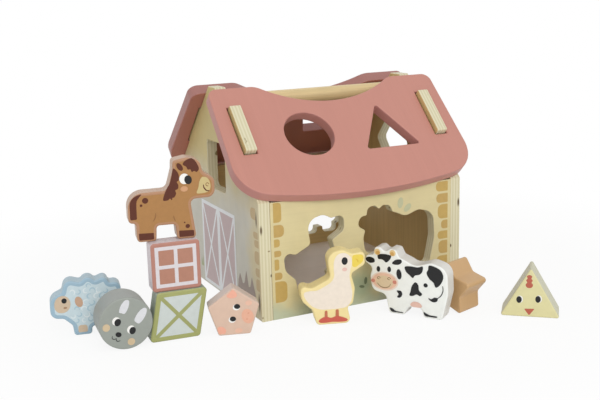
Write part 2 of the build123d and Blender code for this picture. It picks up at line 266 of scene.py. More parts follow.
def finish(tree, colour, roughness, height, depth, specular=0.5):
    """Ends a material in one Principled shader. Depth is the relief of the height, in millimetres."""
    bump = add_node(tree, "ShaderNodeBump", {"Height": height, "Strength": 1.0, "Distance": depth * MM})
    surface = {
        "Base Color": colour, "Roughness": roughness,
        "Specular IOR Level": specular, "Normal": bump.outputs[0],
    }
    shader = add_node(tree, "ShaderNodeBsdfPrincipled", surface)
    add_node(tree, "ShaderNodeOutputMaterial", {"Surface": shader.outputs[0]})


def printed_plywood(name, paint, outward, start, along, upper, lower, fade, veneer, patches=(), knots=()):
    """Birch plywood with a print on its outer face: matt cream ink that lets a little veneer grain through.

    The print runs softly from the upper colour to the lower one between the two heights in fade, with softer
    patches over it. The edges and the holes show the glued layers, and the inner face is lacquered veneer.
    Dark knots in the wood show through all of these.
    """
    material, tree, place, normal = new_material(name)
    streaks = grain(tree, place, along, paint.grain / MM, 70)
    swing = 34.0
    height = add_node(tree, "ShaderNodeSeparateXYZ", {0: place}).outputs[2]
    ragged = maths(tree, "MULTIPLY_ADD", noise(tree, place, 26, 2.0), swing, height)
    rise = ramp(tree, ragged, fade[0] + swing / 2, fade[1] + swing / 2, smooth=True)
    ink = mix(tree, rise, lower, upper)
    for tint, middle, reach in patches:
        ink = washed(tree, place, ink, tint, middle, reach)
    ink = streaked(tree, mottled(tree, place, ink, 15, 0.03), streaks, 0.03)
    veneer = streaked(tree, mottled(tree, place, (*veneer,), 40, 0.05), streaks, 0.12)
    edge = ply_edge(tree, place, paint, tuple(-c for c in outward), start)
    flat = maths(tree, "ABSOLUTE", vectors(tree, "DOT_PRODUCT", normal, outward))
    bare = mix(tree, ramp(tree, flat, 0.6, 0.8), edge, veneer)
    colour = mix(tree, facing(tree, normal, outward), bare, ink)
    for middle, reach in knots:
        colour = washed(tree, place, colour, linear("5F4B2F"), middle, reach)
    finish(tree, colour, 0.5, streaks, 0.06)
    return material


def painted_wood(name, colour, edge, under, outward, along):
    """Satin paint over sanded plywood: the grain shows a little, and the edges and the underside take their
    own colours, which on the roof are darker as painted shade.
    """
    material, tree, place, normal = new_material(name)
    streaks = grain(tree, place, along, 1.6, 60)
    # Where the surface faces inward it takes the under colour; on the roof this darker underside is painted
    # shade.
    below = mix(tree, facing(tree, normal, tuple(-c for c in outward)), edge, under)
    ground = mix(tree, facing(tree, normal, outward), below, colour)
    tone = streaked(tree, streaked(tree, ground, grain(tree, place, along, 9, 160), 0.03), streaks, 0.02)
    finish(tree, tone, ramp(tree, streaks, start=0.37, end=0.5), streaks, 0.05)
    return material


def printed_block(name, ground, side, outward):
    """A block of painted wood: flat satin ink on the printed face, sprayed paint on the sides and back."""
    material, tree, place, normal = new_material(name)
    streaks = grain(tree, place, (0, 0, 1), 1.1, 22)
    face = mottled(tree, place, (*ground,), 6, 0.025)
    wood = streaked(tree, mottled(tree, place, (*side,), 9, 0.03), streaks, 0.05)
    colour = mix(tree, facing(tree, normal, outward, 0.35, 0.75), wood, face)
    finish(tree, colour, ramp(tree, streaks, start=0.36, end=0.5), streaks, 0.03)
    return material


def turned_beech(name, colour, along):
    """Beech dowel: turned, sanded and lacquered clear, with short dark flecks along the grain."""
    material, tree, place, _ = new_material(name)
    streaks = grain(tree, place, along, 1.4, 45)
    fleck = ramp(tree, grain(tree, place, along, 0.5, 3.5), 0.62, 0.74, 1.0, 0.82)
    tone = streaked(tree, mottled(tree, place, (*colour,), 25, 0.05), streaks, 0.15)
    finish(tree, scaled(tree, tone, fleck), 0.4, streaks, 0.05)
    return material


# Printing inks: satin screen ink. The colour of each is what the print shows.
INKS = {
    "black": "1B1B1D",
    "white": "F1F0EC",
    "duck_white": "EDE1D2",
    "beak_yellow": "E9CF57",
    "beak_shade": "DDB944",
    "foot_coral": "C85D4E",
    "leg_brown": "BF7152",
    "duck_cheek": "E6C0B4",
    "horn_ochre": "D3A45E",
    "horn_pale": "E7C992",
    "cow_blush_outer": "ECD9CC",
    "cow_blush": "E8BFA6",
    "cow_muzzle": "DDC6A4",
    "cow_cheek": "CE8573",
    "cow_line": "8A6B4F",
    "udder": "E5BDAE",
    "horse_tan": "AA7C4A",
    "horse_brown": "5A2A18",
    "horse_muzzle": "C9B681",
    "horse_cheek": "CE9C74",
    "horse_line": "8C613A",
    "wool": "CBDCE2",
    "wool_light": "DFE9EC",
    "wool_dark": "AFCAD6",
    "sheep_face": "D2BCA2",
    "sheep_ear": "C9A58B",
    "sheep_mouth": "A98467",
    "rabbit_pale": "DADBDF",
    "rabbit_cheek": "D0BA98",
    "pane": "B2806C",
    "frame": "D9D3D6",
    "door_ground": "CAD1CE",
    "door_olive": "9FA26A",
    "pig_coral": "ECAE97",
    "pig_faint": "E6BBA4",
    "pig_snout": "E6B096",
    "pig_nostril": "DC9F86",
    "comb_red": "B9624E",
    "stone": "C1A25D",
    "stone_pale": "BF9F5F",
    "gable_stone": "C2AA7D",
    "leaf": "BFBF9B",
    "leaf_dark": "6A7459",
    "grass": "98877C",
    "grass_green": "A9AE86",
    "panel": "C0ABAB",
    "door_white": "E6E8EA",
}


def ink_material(name):
    """The printing ink of that name: even colour, a satin sheen and the faint texture of the wood below."""
    known = bpy.data.materials.get(name)
    if known:
        return known
    material, tree, place, _ = new_material(name)
    colour = mottled(tree, place, linear(INKS[name.removesuffix("_ink")]), 3.5, 0.03)
    texture = noise(tree, place, 0.9, 2.0)
    finish(tree, colour, ramp(tree, texture, start=0.36, end=0.48), texture, 0.015, specular=0.35)
    return material


def dress(node, material):
    """Gives a CAD piece its finish, in every slot that it has."""
    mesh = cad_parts[node].data
    for place in range(len(mesh.materials)):
        mesh.materials[place] = material
    if not mesh.materials:
        mesh.materials.append(material)


# Outlines for the artwork, in millimetres


def ellipse(x, y, half_width, half_height, turn=0.0, steps=40):
    """An ellipse, turned by an angle in degrees."""
    cos, sin = math.cos(math.radians(turn)), math.sin(math.radians(turn))
    points = []
    for step in range(steps):
        angle = 2 * math.pi * step / steps
        a, b = half_width * math.cos(angle), half_height * math.sin(angle)
        points.append((x + a * cos - b * sin, y + a * sin + b * cos))
    return points


def smooth(points, closed=True, steps=8):
    """A curve that runs smoothly through the points."""
    count = len(points)
    result = []
    for i in range(count if closed else count - 1):
        near = [k % count if closed else min(max(k, 0), count - 1) for k in range(i - 1, i + 3)]
        p0, p1, p2, p3 = (Vector(points[k]) for k in near)
        for step in range(steps):
            t = step / steps
            point = 0.5 * (
                2 * p1 + (p2 - p0) * t + (2 * p0 - 5 * p1 + 4 * p2 - p3) * t * t
                + (3 * p1 - p0 - 3 * p2 + p3) * t ** 3
            )
            result.append(tuple(point))
    if not closed:
        result.append(tuple(points[-1]))
    return result


def rounded(points, radii, steps=6):
    """A polygon with its corners rounded, each to its own radius."""
    result = []
    count = len(points)
    for i in range(count):
        corner = Vector(points[i])
        before, after = Vector(points[i - 1]) - corner, Vector(points[(i + 1) % count]) - corner
        reach = min(radii[i], before.length / 2, after.length / 2)
        start, end = corner + before.normalized() * reach, corner + after.normalized() * reach
        for step in range(steps + 1):
            t = step / steps
            result.append(tuple(start * (1 - t) ** 2 + corner * 2 * t * (1 - t) + end * t * t))
    return result


def stroke(points, width, tip=1.0):
    """The outline of a line drawn through the points. A tip under 1 draws it thinner towards its ends."""
    left, right = [], []
    last = len(points) - 1
    for i, point in enumerate(points):
        here = Vector(point)
        run = Vector(points[min(i + 1, last)]) - Vector(points[max(i - 1, 0)])
        side = Vector((-run.y, run.x)).normalized()
        share = math.sin(math.pi * i / last) if last else 0
        half = width / 2 * (tip + (1 - tip) * share)
        left.append(tuple(here + side * half))
        right.append(tuple(here - side * half))
    return right + left[::-1]


def drawn(points, width, tip):
    """The outline of a line drawn smoothly through the points, thinner towards its ends."""
    return stroke(smooth(points, closed=False), width, tip)


def area(outline):
    """Area inside an outline, below zero where it runs clockwise."""
    return sum(a[0] * b[1] - b[0] * a[1] for a, b in zip(outline, outline[1:] + outline[:1])) / 2


def inset(outline, distance, step=0.5):
    """An outline drawn inside another at an even distance."""
    walk = []
    for a, b in zip(outline, outline[1:] + outline[:1]):
        a, b = Vector(a), Vector(b)
        parts = max(1, round((b - a).length / step))
        walk += [a.lerp(b, part / parts) for part in range(parts)]
    turn = 1 if area(outline) > 0 else -1
    count = len(walk)
    kept = []
    for i in range(count):
        run = walk[(i + 1) % count] - walk[i - 1]
        if run.length < 1e-6:
            continue
        moved = walk[i] + Vector((-run.y, run.x)).normalized() * distance * turn
        if min((moved - other).length for other in walk) > distance * 0.97:
            kept.append(tuple(moved))
    return kept


def holds(outline, point):
    """Whether the point lies inside the outline."""
    inside = False
    for a, b in zip(outline, outline[1:] + outline[:1]):
        if (a[1] > point[1]) != (b[1] > point[1]):
            if point[0] < a[0] + (point[1] - a[1]) / (b[1] - a[1]) * (b[0] - a[0]):
                inside = not inside
    return inside


class Board:
    """A flat outer face of the house: millimetres across and up, seen from outside."""

    def __init__(self, node, outward):
        low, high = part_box(node)
        self.outward = Vector(outward)
        self.across = Vector((-outward[1], outward[0], 0))
        self.depth = max(low.dot(self.outward), high.dot(self.outward))
        middle = (low + high) / 2
        across = Vector((middle.x * abs(outward[1]), middle.y * abs(outward[0]), 0))
        self.origin = self.outward * self.depth + across


class BlockFace:
    """The printed face of a block: millimetres across from its middle and up from its foot, then shifted."""

    def __init__(self, node, shift=(0.0, 0.0)):
        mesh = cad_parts[node].data
        groups = {}
        for polygon in mesh.polygons:
            normal = polygon.normal
            if abs(normal.z) < 0.01 and normal.y < -0.05:
                groups.setdefault((round(normal.x, 2), round(normal.y, 2)), []).append(polygon)
        face = max(groups.values(), key=lambda group: sum(polygon.area for polygon in group))
        normals = [polygon.normal * polygon.area for polygon in face]
        self.outward = sum(normals, Vector((0, 0, 0))).normalized()
        self.across = Vector((-self.outward.y, self.outward.x, 0))
        depth = max(mesh.vertices[i].co.dot(self.outward) for polygon in face for i in polygon.vertices)
        flat = {v.index for v in mesh.vertices if abs(v.co.dot(self.outward) - depth) < 0.005 * MM}
        face = [polygon for polygon in mesh.polygons if flat.issuperset(polygon.vertices)]
        spread = [mesh.vertices[i].co.dot(self.across) for i in flat]
        foot = min(vertex.co.z for vertex in mesh.vertices)
        start = (min(spread) + max(spread)) / 2 + shift[0] * MM
        self.origin = self.across * start + self.outward * depth + Vector((0, 0, foot + shift[1] * MM))
        self.outline = self.rim(face, mesh)

    def rim(self, face, mesh):
        """The face's outline, from the edges that only one of its triangles has."""
        edges = set()
        for polygon in face:
            keys = [tuple(round(c, 6) for c in mesh.vertices[i].co) for i in polygon.vertices]
            for pair in zip(keys, keys[1:] + keys[:1]):
                if pair[::-1] in edges:
                    edges.remove(pair[::-1])
                elif pair[0] != pair[1]:
                    edges.add(pair)
        follow = dict(edges)
        walk = [next(iter(follow))]
        while (here := follow.pop(walk[-1])) != walk[0]:
            walk.append(here)
        outline = []
        for point in walk:
            offset = Vector(point) - self.origin
            outline.append((offset.dot(self.across) / MM, offset.z / MM))
        return outline


class Artwork:
    """Patches of ink on one face, each call to patch printed over the ones before it."""

    def __init__(self, name, face):
        self.name = name
        self.face = face
        self.sizes = bpy.context.scene.sorter_print
        self.layers = 0
        self.points = []
        self.patches = []

    def patch(self, ink, *outlines):
        """Prints the outlines in one ink."""
        height = self.sizes.ink + self.sizes.overprint * self.layers
        self.layers += 1
        for outline in outlines:
            if area(outline) < 0:
                outline = outline[::-1]
            first = len(self.points)
            for x, y in outline:
                self.points.append(
                    self.face.origin
                    + self.face.across * (x * MM)
                    + Vector((0, 0, y * MM))
                    + self.face.outward * height
                )
            self.patches.append((f"{ink}_ink", list(range(first, len(self.points)))))

    def blots(self, ink, *rims):
        """Prints patches in one ink, each with a rim that runs smoothly through the points given."""
        self.patch(ink, *[smooth(points) for points in rims])

    def spots(self, ink, half_width, half_height, turn, *middles):
        """Prints ellipses of one size and turn in one ink."""
        self.patch(ink, *[ellipse(x, y, half_width, half_height, turn) for x, y in middles])

    def build(self, body):
        """Makes the printed piece, riding on the body whose face it is on."""
        mesh = bpy.data.meshes.new(self.name)
        mesh.from_pydata(self.points, [], [corners for _, corners in self.patches])
        inks = sorted({ink for ink, _ in self.patches})
        for ink in inks:
            mesh.materials.append(ink_material(ink))
        for polygon, (ink, _) in zip(mesh.polygons, self.patches):
            polygon.material_index = inks.index(ink)
        mesh.update()
        piece = bpy.data.objects.new(self.name, mesh)
        bpy.context.scene.collection.objects.link(piece)
        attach(piece, body)
        return piece


def stone(flat, tip, low, high):
    """A corner stone: straight where it meets the corner, round at its other end."""
    radius = min((high - low) * 0.48, 5.0)
    return rounded([(flat, low), (tip, low), (tip, high), (flat, high)], [0.7, radius, radius, 0.7])


def grass(left, right, low, high, blades):
    """A tuft of grass with pointed blades."""
    points = [(left, low)]
    step = (right - left) / blades
    for blade in range(blades):
        start = left + blade * step
        lift = (0.72, 1.0, 0.85)[blade % 3]
        points += [
            (start + step * 0.12, low + (high - low) * 0.35),
            (start + step * (0.42 + 0.1 * (blade % 2)), low + (high - low) * lift),
            (start + step * 0.85, low + (high - low) * 0.3),
        ]
    points += [(right, low)]
    return rounded(points, [1.0] + [0.8] * (len(points) - 2) + [1.0], steps=3)


# Operators: one for each piece, or for a group of like pieces

WALLS = (("front_wall", (0, -1, 0)), ("back_wall", (0, 1, 0)))
GABLES = (("left_gable", (-1, 0, 0)), ("right_gable", (1, 0, 0)))


class SORTER_OT_walls(bpy.types.Operator):
    """Cream print on the front and back walls, and lacquered birch plywood on the base"""

    bl_idname = "sorter.walls"
    bl_label = "Walls and base"

    def execute(self, context):
        paint = context.scene.sorter_house
        for node, outward in WALLS:
            outer = -Board(node, outward).depth / MM
            shade = (linear("A3AC8C"), (-3, outer, 16), (17, 20, 22))
            dress(node, printed_plywood(
                f"{node}_printed_birch_plywood", paint, outward, outer, (1, 0, 0),
                paint.wall_cream, paint.wall_wash, (2, 22), paint.veneer, (shade,),
            ))
        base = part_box("base_panel")[1].z
        dress("base_panel", printed_plywood(
            "lacquered_birch_plywood", paint, (0, 0, 1), -base / MM, (1, 0, 0),
            paint.floor, paint.floor, (0, 1), paint.floor,
        ))
        return {"FINISHED"}


class SORTER_OT_gables(bpy.types.Operator):
    """Cream to sage print on both gables, with the plywood layers at their edges and roof tabs"""

    bl_idname = "sorter.gables"
    bl_label = "Gables"
    # Dark knots in the wood, in millimetres: in from the outer face, back from the front, height and reach
    knots = (
        (0, 5.0, 82.5, (2, 1.9, 9)), (0, 4.0, 14.5, (2, 2.6, 11)),
        (1.8, 0, 75.5, (1.5, 2, 5)), (9.4, 0, 37.5, (1.2, 1.5, 1.9)),
    )

    def execute(self, context):
        paint = context.scene.sorter_house
        for node, outward in GABLES:
            depth = Board(node, outward).depth / MM
            face = depth * outward[0]
            front, back = (corner.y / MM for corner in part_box(node))
            bands = [(paint.gable_straw, (face, edge, 45), (20, 34, 90)) for edge in (front, back)]
            knots = [((face - x * outward[0], front + y, z), reach) for x, y, z, reach in self.knots]
            dress(node, printed_plywood(
                f"{node}_printed_birch_plywood", paint, outward, -depth, (0, 0, 1),
                paint.gable_cream, paint.gable_sage, (70, 128), paint.veneer, bands, knots,
            ))
        return {"FINISHED"}


class SORTER_OT_roof(bpy.types.Operator):
    """Dusty rose satin paint on both roof panels"""

    bl_idname = "sorter.roof"
    bl_label = "Roof panels"

    def execute(self, context):
        paint = context.scene.sorter_house
        slope = math.sqrt(0.5)
        # The back panel's edge colour is darker than the front's: painted shade.
        panels = (
            ("front_roof_panel", -slope, paint.roof_edge), ("back_roof_panel", slope, paint.roof_edge_back),
        )
        for node, out, edge in panels:
            # The underside colour of both panels is darker than the top: painted shade.
            dress(node, painted_wood(
                f"{node}_satin_rose_paint", paint.roof_rose, edge, paint.roof_under,
                (0, out, slope), (0, out, -slope),
            ))
        return {"FINISHED"}


class SORTER_OT_dowels(bpy.types.Operator):
    """Turned beech for the handle under the ridge and for the glued pins"""

    bl_idname = "sorter.dowels"
    bl_label = "Handle and pins"

    def execute(self, context):
        paint = context.scene.sorter_house
        dress("handle_dowel", turned_beech("lacquered_beech_dowel", paint.beech, (1, 0, 0)))
        plain = turned_beech("plain_beech_pins", linear("C9A878"), (1, 0, 0))
        for node in ("front_wall_pins", "back_wall_pins", "base_pins"):
            dress(node, plain)
        return {"FINISHED"}


class SORTER_OT_wall_prints(bpy.types.Operator):
    """Corner stones and leaves printed on the front and back walls"""

    bl_idname = "sorter.wall_prints"
    bl_label = "Wall prints"

    # Stones: where their straight ends stand, then each one's round end, low and high, from the top down
    sides = (
        (-82.5, (
            (-75.5, 80, 96), (-73.5, 68, 78), (-77.5, 60, 66.5), (-76.5, 52, 57),
            (-78.5, 41, 50), (-76, 33, 39), (-72, 14, 31.5),
        )),
        (82.0, (
            (70, 87, 95.5), (70.5, 77, 85), (72, 63, 75.5), (75.5, 54, 61.5),
            (72, 45, 52), (73, 32, 43.5), (71, 21, 30), (74, 12, 19),
        )),
    )

    def execute(self, context):
        for node, outward in WALLS:
            art = Artwork(f"{node}_print", Board(node, outward))
            for first, ink in enumerate(("stone", "stone_pale")):
                for flat, stones in self.sides:
                    art.patch(ink, *[stone(flat, *row) for row in stones[first::2]])
            if node == "front_wall":
                art.patch("leaf", ellipse(34.5, 82, 2.7, 4.6, -8), ellipse(41.5, 77, 2.6, 4.2, -48))
                art.patch("leaf_dark", ellipse(0.3, 19.5, 1.4, 3.2, -6), ellipse(-3.4, 15, 2.6, 1.2, -14))
            else:
                art.patch("leaf", ellipse(-2, 79, 2.7, 4.6, 12), ellipse(-9, 74, 2.6, 4.2, 52))
                art.patch("leaf_dark", ellipse(2.3, 14.5, 1.4, 3.2, 6), ellipse(-2.4, 10, 2.6, 1.2, 16))
            art.build("house")
        return {"FINISHED"}


class SORTER_OT_gable_prints(bpy.types.Operator):
    """Double barn door, stones and grass on the left gable; stones and grass on the right one"""

    bl_idname = "sorter.gable_prints"
    bl_label = "Gable prints"

    # Stones at the upright edges: the end by the edge, the round end, low and high
    stones = (
        (84.2, 74.5, 82.5, 92), (87.6, 79, 67.5, 73), (88.8, 80.5, 60.5, 66.5),
        (88.8, 80, 47, 57.5), (88.8, 81, 36.5, 43.5), (88.8, 81.5, 24.5, 34.5),
    )

    def execute(self, context):
        for node, outward in GABLES:
            art = Artwork(f"{node}_print", Board(node, outward))
            for side in (1, -1):
                art.patch("gable_stone", *[
                    stone(side * flat, side * tip, low, high) for flat, tip, low, high in self.stones
                ])
            if node == "left_gable":
                self.draw_doors(art)
            else:
                art.patch("grass_green", grass(-62, -30, 2, 19, 4), grass(22, 58, 2, 22, 5))
                art.patch("grass", grass(-12, 14, 2, 15, 3))
            art.build("house")
        return {"FINISHED"}

    def draw_doors(self, art):
        """The double door with its crossed strips, and the grass on either side of it."""
        low, high, strip = 5.6, 73.7, 2.6
        panels = ((-32.5, 0.5), (6.5, 38))
        art.patch("grass", grass(43, 80, 17, 36, 3))
        art.patch("grass_green", grass(-44, -37.5, 14, 25, 2))
        art.patch("door_white", [(-36, 2), (41, 2), (41, 77.5), (-36, 77.5)])
        art.patch("panel", *[[(a, 5), (b, 5), (b, 74.3), (a, 74.3)] for a, b in panels])
        art.patch("door_white", *[stroke([(a, low), (b, high)], strip) for a, b in panels])
        art.patch("door_white", *[stroke([(b, low), (a, high)], strip) for a, b in panels])


class BlockOperator:
    """What every block shares: the paint of its faces, and the artwork on its printed face."""

    # How far the artwork's own zero lies from the middle of the face's foot, in millimetres
    shift = (0.0, 0.0)

    def execute(self, context):
        paint = context.scene.sorter_block
        name = type(self).__name__.removeprefix("SORTER_OT_")
        face = BlockFace(f"{name}_block", self.shift)
        ground, side = getattr(paint, name), getattr(paint, f"{name}_side")
        dress(f"{name}_block", printed_block(f"{name}_satin_printed_wood", ground, side, tuple(face.outward)))
        art = Artwork(f"{name}_print", face)
        self.draw_art(art, context.scene.sorter_print)
        art.build(name)
        return {"FINISHED"}


class SORTER_OT_duck(BlockOperator, bpy.types.Operator):
    """White duck with a yellow border, yellow beak and coral feet"""

    bl_idname = "sorter.duck"
    bl_label = "Duck"
    shift = (-0.41, 0)

    def draw_art(self, art, sizes):
        art.blots("duck_white", [
            (-22.3, 27.6), (-18, 28.6), (-12.5, 28.7), (-7, 31.2), (-1.5, 34.6), (1.3, 39), (1.2, 46),
            (1.7, 52), (4.2, 56.4), (8.5, 57.9), (12.5, 56.6), (15.3, 53), (15.6, 48.5), (14.3, 43.5),
            (13.6, 38), (14.8, 31), (15.6, 25), (14.6, 18.5), (11, 14), (5, 12.8), (-5, 12.6), (-11, 13.3),
            (-16.5, 16), (-20.5, 20.5), (-22.6, 24.5),
        ])
        art.blots("beak_yellow", [
            (16.6, 55.3), (20.5, 55.9), (24, 55.2), (24.9, 52.2), (23.6, 49.4), (20.8, 47.2), (18.4, 45.8),
            (16.2, 46.6), (15.8, 49.5), (15.9, 52.5),
        ])
        art.patch("beak_shade", drawn([(18.6, 52.6), (20.2, 51.2), (20.4, 49.8)], 0.9, 0.4))
        art.patch("black", ellipse(9.9, 51.3, 2.4, 3.1))
        art.patch("duck_cheek", ellipse(9.8, 44.5, 2, 1.5))
        art.patch(
            "leg_brown",
            rounded([(-6.9, 5), (-4.3, 5), (-4.5, 11.7), (-6.6, 11.7)], [0.3, 0.3, 1.1, 1.1]),
            rounded([(1.9, 5), (4.7, 5), (4.6, 12.2), (2.1, 12.2)], [0.3, 0.3, 1.2, 1.2]),
        )
        art.blots("foot_coral", [
            (-11.5, 3.8), (-9, 5.8), (-5.5, 6.7), (-1.5, 5.6), (2.8, 6.7), (7.5, 5.6), (11.5, 3.5),
            (10.4, 1.9), (5, 1.7), (-0.5, 2.1), (-6, 1.7), (-10.4, 2.1),
        ])


class SORTER_OT_cow(BlockOperator, bpy.types.Operator):
    """White cow with black patches, a blushing muzzle and ochre horns"""

    bl_idname = "sorter.cow"
    bl_label = "Cow"
    shift = (2.86, 0)

    def draw_art(self, art, sizes):
        line = sizes.line / MM
        art.patch("cow_blush_outer", ellipse(-21, 26.4, 11.9, 7.9))
        art.patch("cow_blush", ellipse(-21, 26.4, 10.6, 6.8))
        art.patch("cow_muzzle", ellipse(-21.2, 25.8, 7.6, 5.4))
        art.spots("cow_cheek", 1.7, 1.5, 0, (-31.1, 25.9), (-12.3, 26.6))
        # Nostrils, as rings left a little open, and the mouth
        art.patch(
            "cow_line",
            stroke(ellipse(-26, 28.7, 1.3, 0.9)[:34], line),
            stroke(ellipse(-17, 29, 1.3, 0.9)[:34], line),
            drawn([(-27.4, 24.4), (-24.8, 21.9), (-21, 21), (-17.4, 22.2), (-15.6, 24.8)], line * 1.2, 0.5),
        )
        art.spots("white", 1.9, 2.6, 0, (-27.2, 36.4), (-17.8, 37))
        art.spots("black", 1.6, 2.4, 0, (-26.3, 36.2), (-16.9, 36.9))
        art.blots(
            "black",
            [(-37, 44.6), (-33.5, 45.6), (-30, 44.4), (-29.8, 41.6), (-33.5, 40.6), (-36.9, 42.2)],
            [(-14.3, 42.6), (-11.5, 45.4), (-7, 46.2), (-6, 44.2), (-8.6, 41.8), (-12.8, 41.5)],
        )
        art.patch("black", rounded(
            [(-27.2, 48.6), (-20.5, 49.4), (-14.6, 48.6), (-16.2, 44.8), (-19.6, 41.9), (-22.6, 44.8),
             (-26.6, 44.3)],
            [1.6, 2, 1.6, 2, 1.6, 1.6, 1.6],
        ))
        art.spots("horn_pale", 2.6, 2.6, 0, (-27.2, 50.4), (-13.9, 50.8))
        art.spots("horn_ochre", 1.7, 1.6, 0, (-26.7, 49.8), (-14.3, 50.1))
        # Patches of hide
        art.patch(
            "black",
            smooth([(-3.4, 40.6), (1, 41.6), (7.5, 41.4), (11.6, 42.6), (11.4, 38.4), (9, 35.6), (5.2, 34.4),
                    (3.4, 32.2), (0.6, 34.2), (-2.4, 36.8)]),
            smooth([(17, 44), (22, 43.4), (27, 40.6), (28.8, 35.4), (26.6, 29.8), (22.8, 26.6), (20.6, 30.4),
                    (17.2, 33.2), (15, 37.4), (16.2, 40.6)]),
            smooth([(5.4, 28.8), (8, 26.8), (8.6, 22.6), (11.2, 19.8), (9.6, 17.8), (6.6, 18.8), (3.4, 17.2),
                    (0.6, 17.4), (1.4, 20.6), (2.6, 25.4)]),
            ellipse(-8.4, 33.8, 2.2, 4.2, 6),
            smooth([(-10.4, 19.8), (-6.8, 20), (-5.6, 17.2), (-7.4, 14.4), (-10, 14.6), (-8.8, 17.2)]),
            ellipse(14.2, 27.4, 1.8, 1.7),
        )
        art.patch("black", drawn([(28.4, 28.4), (28.6, 24.4), (27, 20.4), (24.2, 17.8)], line * 1.4, 0.7))
        art.blots("black", [
            (16.6, 17.2), (19, 16.6), (21.6, 18.2), (24.4, 17.8), (23.6, 15.2), (20.8, 14.3), (18, 15.3),
        ])
        art.blots("udder", [(1.4, 10), (4, 12.4), (8.6, 12.2), (11.2, 9.6), (9.6, 8.2), (3, 8.2)])
        art.blots(
            "black",
            [(-16.4, 4.6), (-14.2, 4.4), (-11, 2.6), (-5.4, 2.3), (-5.2, 1.6), (-9, 1.5), (-14.6, 1.6)],
            [(12.6, 4.9), (14.4, 4.3), (18, 3), (23.6, 2.8), (23.4, 1.7), (18.4, 1.6), (14, 1.9)],
        )


class SORTER_OT_horse(BlockOperator, bpy.types.Operator):
    """Tan horse with a brown mane, tail and hooves and a pale muzzle"""

    bl_idname = "sorter.horse"
    bl_label = "Horse"
    shift = (-1.55, 2)

    def draw_art(self, art, sizes):
        line = sizes.line / MM
        art.patch("horse_tan", inset(art.face.outline, 0.9))
        art.blots("horse_brown", [
            (-29.8, 16.2), (-29.9, 22), (-29.7, 28), (-27.8, 31.6), (-24.6, 33.8), (-20.8, 34.6),
            (-22.6, 32.4), (-24.4, 29.6), (-24.9, 25), (-25, 19), (-25.2, 16.2), (-27.4, 15.8),
        ])
        art.patch(
            "horse_brown",
            rounded([(-24.3, -0.4), (-13.2, -0.4), (-13.2, 4.6), (-24.4, 5)], [1.2, 1, 0.6, 0.6]),
            rounded([(5.8, -0.4), (17.2, -0.4), (17, 4.2), (5.8, 4.6)], [1, 1.2, 0.6, 0.6]),
            ellipse(-18.2, 29.7, 2.3, 2.2), ellipse(-21.4, 26.2, 1, 1),
            ellipse(12.5, 7.6, 1.7, 1.6), ellipse(10.3, 10.6, 0.6, 0.6),
        )
        art.blots("horse_brown", [
            (3.8, 52.2), (6.4, 50.2), (7.8, 46.6), (7.4, 43.2), (6, 42), (7, 39.6), (6.6, 36.8),
            (4.6, 35.8), (5, 33.2), (3.6, 30.6), (2.2, 30.2), (1.6, 28.6), (0.2, 29.8), (-1.4, 28.6),
            (-4.8, 28.8), (-3.8, 33.2), (-1.8, 37.4), (0.6, 41.4), (2.2, 46.6),
        ])
        art.blots("horse_brown", [
            (11.2, 54.8), (12.2, 57), (15, 58.6), (18, 59.2), (20.8, 56.6), (23, 51.4), (21.4, 48.6),
            (19.4, 49.4), (17.6, 48.8), (16.6, 50.8), (14.6, 50.9), (13.6, 53),
        ])
        art.patch("horse_brown", ellipse(8.7, 53.2, 1.9, 3.3, 32))
        art.patch("white", ellipse(11.7, 44, 3.7, 4))
        art.patch("black", ellipse(14.5, 43.1, 2.8, 3.4, 8))
        art.patch("horse_cheek", ellipse(11.2, 36.4, 2.8, 2.1))
        art.blots("horse_muzzle", [
            (20.6, 32.4), (21.9, 36.6), (23, 41.4), (25.2, 44.4), (28.6, 43.7), (30.6, 40.8), (31.2, 36.6),
            (29.6, 33.3), (25.6, 32.1),
        ])
        art.patch(
            "horse_line",
            stroke(ellipse(28.8, 38.5, 1.1, 1.2)[:35], line),
            drawn([(-10.9, 19.9), (-11.5, 16.2), (-13.2, 13.5)], line, 0.4),
            drawn([(2.2, 16.6), (2.6, 14.4), (3.4, 12.4)], line, 0.4),
        )
        mouth = [(25.8, 38.6), (26.2, 36.2), (28, 33.9), (30.1, 33.5)]
        art.patch("horse_brown", drawn(mouth, line * 1.7, 0.5))


